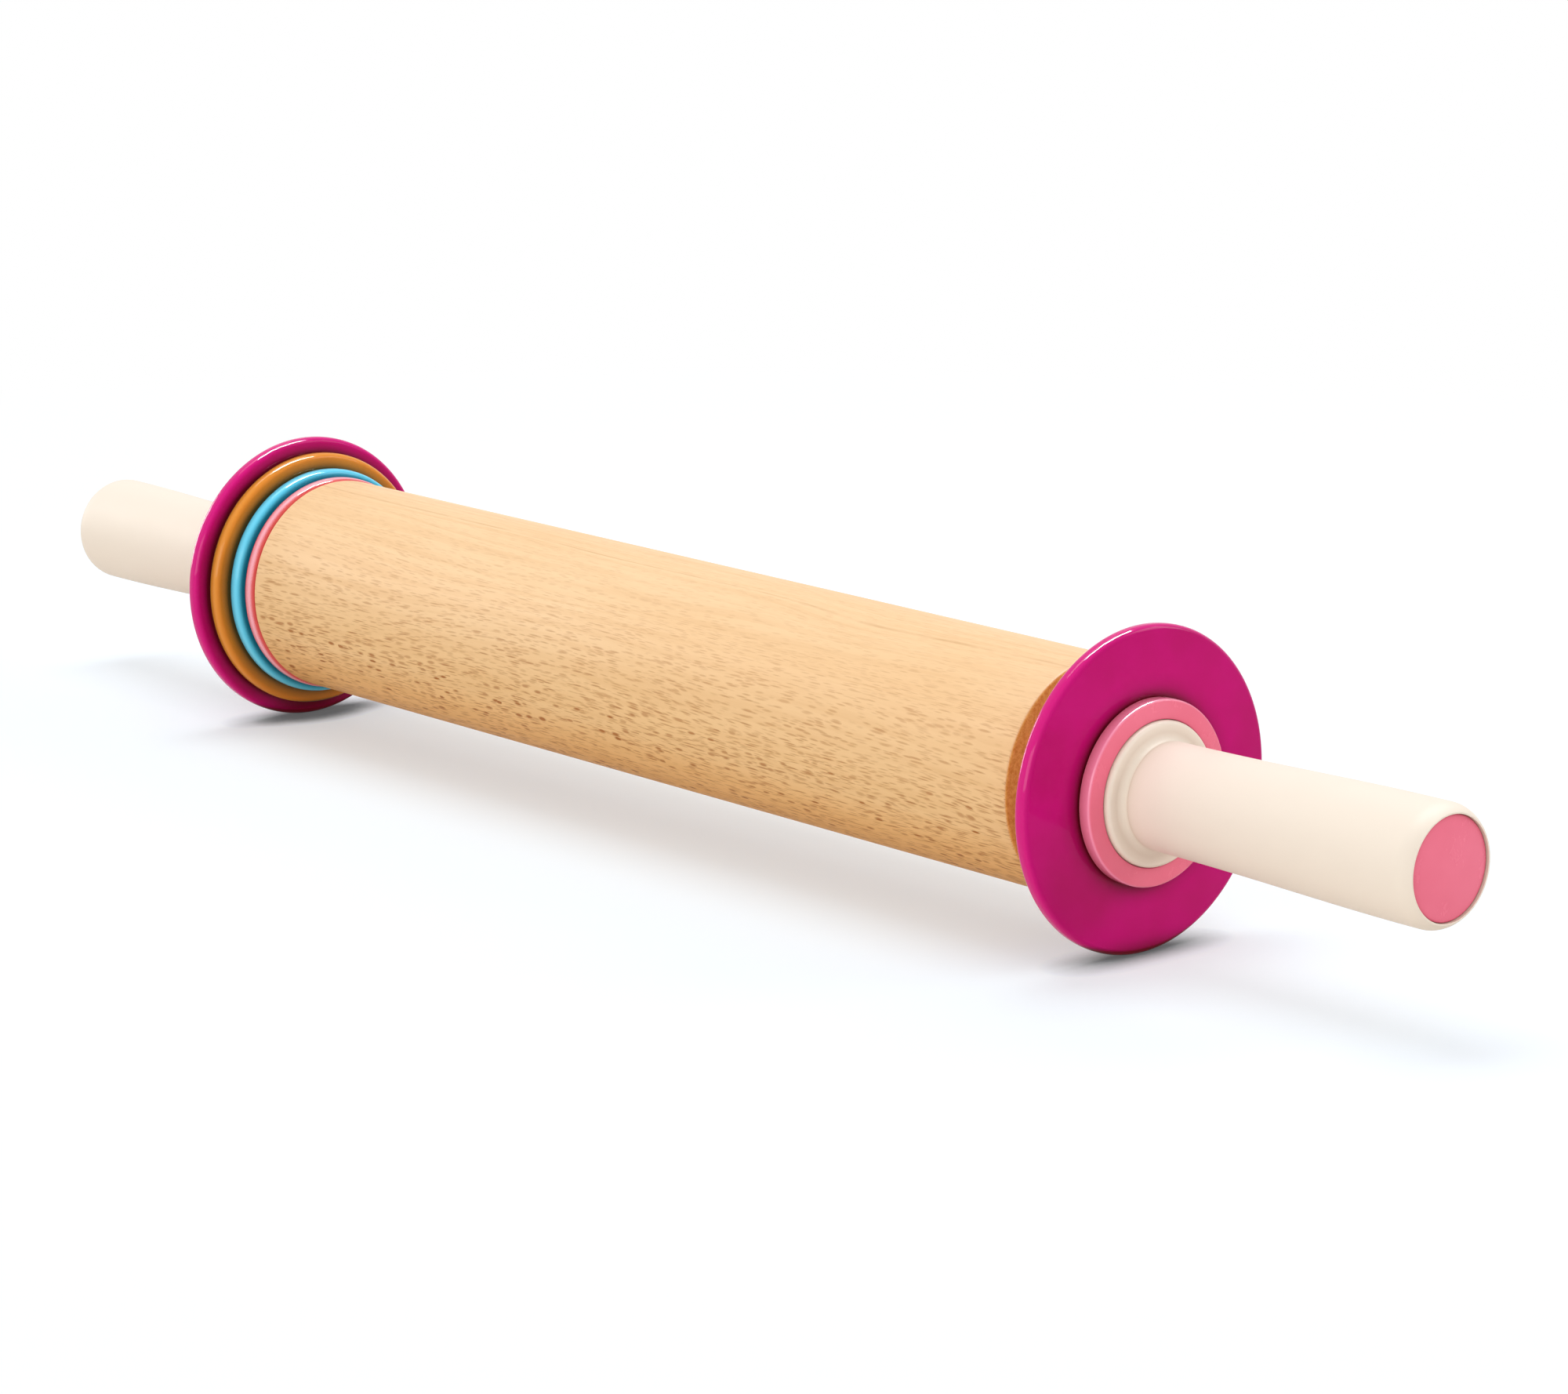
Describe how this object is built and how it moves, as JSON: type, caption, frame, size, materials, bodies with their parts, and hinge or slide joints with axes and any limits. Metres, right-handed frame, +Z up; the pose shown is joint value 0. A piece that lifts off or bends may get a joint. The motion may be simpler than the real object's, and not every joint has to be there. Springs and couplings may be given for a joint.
{
  "type": "adjustable rolling pin",
  "caption": "Adjustable rolling pin: a wooden roller with slide-on thickness rings under threaded lock collars, and handles that turn on a rod through the roller.",
  "frame": {"origin": "on the table, under the middle of the roller's length and its axle's centre line", "axes": "+X along the axle towards the end that carries only the largest ring, +Y to the back, +Z up"},
  "size_m": [0.4276, 0.064, 0.064],
  "materials": {
    "beech": "oiled, fine dark flecks along the grain",
    "magenta_plastic": "glossy",
    "orange_plastic": "glossy",
    "blue_plastic": "glossy",
    "pink_plastic": "glossy",
    "coral_plastic": "satin",
    "cream_plastic": "satin",
    "white_nylon": "plain",
    "dark_rubber": "matt",
    "steel": "bright"
  },
  "bodies": {
    "roller": {"roller": "beech", "axle_rod": "steel", "hub_left": "cream_plastic", "hub_right": "cream_plastic", "hub_screw_left_1": "steel", "hub_screw_left_2": "steel", "hub_screw_left_3": "steel", "hub_screw_right_1": "steel", "hub_screw_right_2": "steel", "hub_screw_right_3": "steel", "thrust_washer_left": "white_nylon", "thrust_washer_right": "white_nylon", "axle_washer_left": "steel", "axle_washer_right": "steel", "axle_nut_left": "steel", "axle_nut_right": "steel"},
    "handle_left": {"handle_left": "cream_plastic", "inner_bush_left": "white_nylon", "outer_bush_left": "white_nylon", "end_cap_left": "coral_plastic"},
    "handle_right": {"handle_right": "cream_plastic", "inner_bush_right": "white_nylon", "outer_bush_right": "white_nylon", "end_cap_right": "coral_plastic"},
    "ring_pink_left": {"ring_pink_left": "pink_plastic"},
    "ring_blue_left": {"ring_blue_left": "blue_plastic"},
    "ring_orange_left": {"ring_orange_left": "orange_plastic"},
    "ring_magenta_left": {"ring_magenta_left": "magenta_plastic"},
    "collar_washer_left": {"collar_washer_left": "dark_rubber"},
    "lock_collar_left": {"lock_collar_left": "coral_plastic"},
    "ring_magenta_right": {"ring_magenta_right": "magenta_plastic"},
    "collar_washer_right": {"collar_washer_right": "dark_rubber"},
    "lock_collar_right": {"lock_collar_right": "coral_plastic"}
  },
  "joints": [
    {"name": "handle_left_spin", "type": "hinge", "parent": "roller", "child": "handle_left", "pos_m": [-0.123, 0, 0.03199], "axis": [-1, 0, 0], "continuous": true},
    {"name": "handle_right_spin", "type": "hinge", "parent": "roller", "child": "handle_right", "pos_m": [0.123, 0, 0.03199], "axis": [1, 0, 0], "continuous": true},
    {"name": "ring_pink_left_slide", "type": "slide", "parent": "roller", "child": "ring_pink_left", "axis": [-1, 0, 0], "range_m": [0, 0.095]},
    {"name": "ring_blue_left_slide", "type": "slide", "parent": "ring_pink_left", "child": "ring_blue_left", "axis": [-1, 0, 0], "range_m": [0, 0.095]},
    {"name": "ring_orange_left_slide", "type": "slide", "parent": "ring_blue_left", "child": "ring_orange_left", "axis": [-1, 0, 0], "range_m": [0, 0.095]},
    {"name": "ring_magenta_left_slide", "type": "slide", "parent": "ring_orange_left", "child": "ring_magenta_left", "axis": [-1, 0, 0], "range_m": [0, 0.095]},
    {"name": "lock_collar_left_advance", "type": "slide", "parent": "ring_magenta_left", "child": "collar_washer_left", "axis": [-1, 0, 0], "range_m": [0, 0.009]},
    {"name": "lock_collar_left_turn", "type": "hinge", "parent": "collar_washer_left", "child": "lock_collar_left", "pos_m": [-0.1381, 0, 0.03199], "axis": [-1, 0, 0], "range_deg": [0, 1080]},
    {"name": "ring_magenta_right_slide", "type": "slide", "parent": "roller", "child": "ring_magenta_right", "axis": [1, 0, 0], "range_m": [0, 0.095]},
    {"name": "lock_collar_right_advance", "type": "slide", "parent": "ring_magenta_right", "child": "collar_washer_right", "axis": [1, 0, 0], "range_m": [0, 0.009]},
    {"name": "lock_collar_right_turn", "type": "hinge", "parent": "collar_washer_right", "child": "lock_collar_right", "pos_m": [0.1381, 0, 0.03199], "axis": [1, 0, 0], "range_deg": [0, 1080]}
  ],
  "couplings": [
    {"joint": "lock_collar_left_advance", "follows": "lock_collar_left_turn", "m_per_rad": 0.00047746},
    {"joint": "lock_collar_right_advance", "follows": "lock_collar_right_turn", "m_per_rad": 0.00047746}
  ]
}
